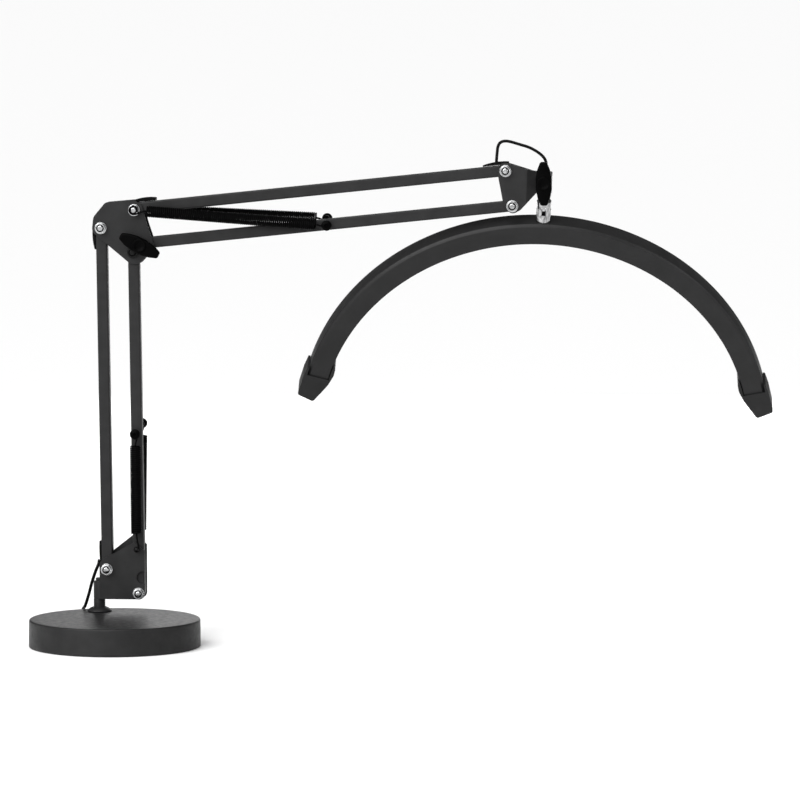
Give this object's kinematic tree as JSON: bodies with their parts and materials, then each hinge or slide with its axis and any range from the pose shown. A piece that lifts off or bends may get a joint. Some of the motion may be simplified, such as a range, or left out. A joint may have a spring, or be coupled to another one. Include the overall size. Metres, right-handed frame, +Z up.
{
  "type": "half-moon task lamp",
  "caption": "Curved LED bar lamp on a spring-balanced two-link swing arm, standing on a round weighted base.",
  "frame": {"origin": "centre of the base's underside, where the foam pad meets the table", "axes": "+Z up, +X the way the arm reaches, which is the longest side; the bar's dark back faces -Y"},
  "size_m": [0.7824, 0.2829, 0.5352],
  "materials": {
    "coated_steel": "satin",
    "iron_weight": "matte",
    "foam_pad": "matte",
    "coated_aluminium": "satin",
    "zinc_steel": "satin",
    "chrome_steel": "polished",
    "black_plastic": "satin",
    "cap_plastic": "satin",
    "black_spring": "satin",
    "cord_jacket": "satin",
    "led_board": "matte",
    "diffuser_plastic": "matte"
  },
  "bodies": {
    "base": {"base_shell": "coated_steel", "base_weight": "iron_weight", "base_pad": "foam_pad", "base_collar": "coated_steel", "base_nut": "zinc_steel", "swivel_post": "coated_steel", "power_cord": "cord_jacket", "cord_coil": "cord_jacket", "cord_plug": "black_plastic"},
    "swivel_bracket": {"lower_bracket": "coated_steel", "lower_main_bolt": "zinc_steel", "lower_main_nut": "zinc_steel", "lower_follower_bolt": "zinc_steel", "lower_follower_nut": "zinc_steel", "lower_hook_pin_front": "zinc_steel", "lower_hook_pin_rear": "zinc_steel"},
    "lower_main": {"lower_main_tube": "coated_steel", "lower_foot_grommet": "black_plastic", "lower_elbow_grommet": "black_plastic", "lower_tube_wire": "cord_jacket"},
    "lower_follower": {"lower_follower_tube": "coated_steel", "lower_spring_front": "black_spring", "lower_spring_rear": "black_spring", "lower_spring_screw_front": "black_plastic", "lower_spring_screw_rear": "black_plastic"},
    "elbow": {"elbow_plate_front": "coated_steel", "elbow_plate_rear": "coated_steel", "elbow_main_bolt": "zinc_steel", "elbow_main_nut": "zinc_steel", "elbow_upper_bolt": "zinc_steel", "elbow_upper_nut": "zinc_steel", "elbow_follower_bolt": "zinc_steel", "elbow_follower_nut": "zinc_steel", "elbow_lock_screw": "zinc_steel", "elbow_cable": "cord_jacket"},
    "elbow_knob": {"elbow_wing_knob": "black_plastic"},
    "upper_main": {"upper_main_tube": "coated_steel", "upper_elbow_grommet": "black_plastic", "upper_head_grommet": "black_plastic", "upper_tube_wire": "cord_jacket"},
    "upper_follower": {"upper_follower_tube": "coated_steel", "upper_spring_front": "black_spring", "upper_spring_rear": "black_spring", "upper_spring_screw_front": "black_plastic", "upper_spring_screw_rear": "black_plastic"},
    "head": {"head_bracket": "coated_steel", "head_main_bolt": "zinc_steel", "head_main_nut": "zinc_steel", "head_follower_bolt": "zinc_steel", "head_follower_nut": "zinc_steel", "head_cable": "cord_jacket"},
    "head_knob": {"head_wing_knob": "black_plastic"},
    "stud": {"swivel_stud": "chrome_steel"},
    "bar": {"bar_clevis": "chrome_steel", "tilt_screw": "zinc_steel", "bar_housing": "coated_aluminium", "led_strip": "led_board", "diffuser": "diffuser_plastic", "end_cap_left": "cap_plastic", "end_cap_right": "cap_plastic"}
  },
  "joints": [
    {"name": "base_swivel", "type": "hinge", "parent": "base", "child": "swivel_bracket", "pos_m": [-0.0251, 0.06, 0.05], "axis": [0, 0, 1], "range_deg": [-170, 170], "deforming": ["power_cord"]},
    {"name": "lower_arm", "type": "hinge", "parent": "swivel_bracket", "child": "lower_main", "pos_m": [-0.0158, 0.06, 0.0753], "axis": [0, 1, 0], "range_deg": [-20, 60]},
    {"name": "lower_link", "type": "hinge", "parent": "swivel_bracket", "child": "lower_follower", "pos_m": [0.0186, 0.06, 0.0497], "axis": [0, 1, 0], "range_deg": [-20, 60], "deforming": ["lower_spring_front", "lower_spring_rear"]},
    {"name": "elbow_level", "type": "hinge", "parent": "lower_main", "child": "elbow", "pos_m": [-0.0205, 0.06, 0.4403], "axis": [0, 1, 0], "range_deg": [-60, 20], "deforming": ["elbow_cable"]},
    {"name": "upper_arm", "type": "hinge", "parent": "elbow", "child": "upper_main", "pos_m": [0.0153, 0.06, 0.4596], "axis": [0, -1, 0], "range_deg": [-25, 8]},
    {"name": "upper_link", "type": "hinge", "parent": "elbow", "child": "upper_follower", "pos_m": [0.0226, 0.06, 0.4225], "axis": [0, -1, 0], "range_deg": [-25, 8], "deforming": ["upper_spring_front", "upper_spring_rear"]},
    {"name": "head_level", "type": "hinge", "parent": "upper_main", "child": "head", "pos_m": [0.4103, 0.06, 0.5024], "axis": [0, -1, 0], "range_deg": [-8, 25], "deforming": ["head_cable"]},
    {"name": "head_swivel", "type": "hinge", "parent": "head", "child": "stud", "pos_m": [0.4504, 0.06, 0.465], "axis": [0.0366, 0, 0.9993], "range_deg": [-170, 170]},
    {"name": "bar_tilt", "type": "hinge", "parent": "stud", "child": "bar", "pos_m": [0.4504, 0.06, 0.465], "axis": [0.9969, 0.0698, -0.0366], "range_deg": [-40, 30]},
    {"name": "elbow_knob_turn", "type": "hinge", "parent": "elbow", "child": "elbow_knob", "pos_m": [0.0226, 0.06, 0.4225], "axis": [0, 1, 0], "continuous": true},
    {"name": "head_knob_turn", "type": "hinge", "parent": "head", "child": "head_knob", "pos_m": [0.4513, 0.06, 0.48948], "axis": [0, 1, 0], "continuous": true}
  ],
  "couplings": [
    {"joint": "lower_link", "follows": "lower_arm", "ratio": 1},
    {"joint": "elbow_level", "follows": "lower_arm", "ratio": -1},
    {"joint": "upper_link", "follows": "upper_arm", "ratio": 1},
    {"joint": "head_level", "follows": "upper_arm", "ratio": -1}
  ]
}
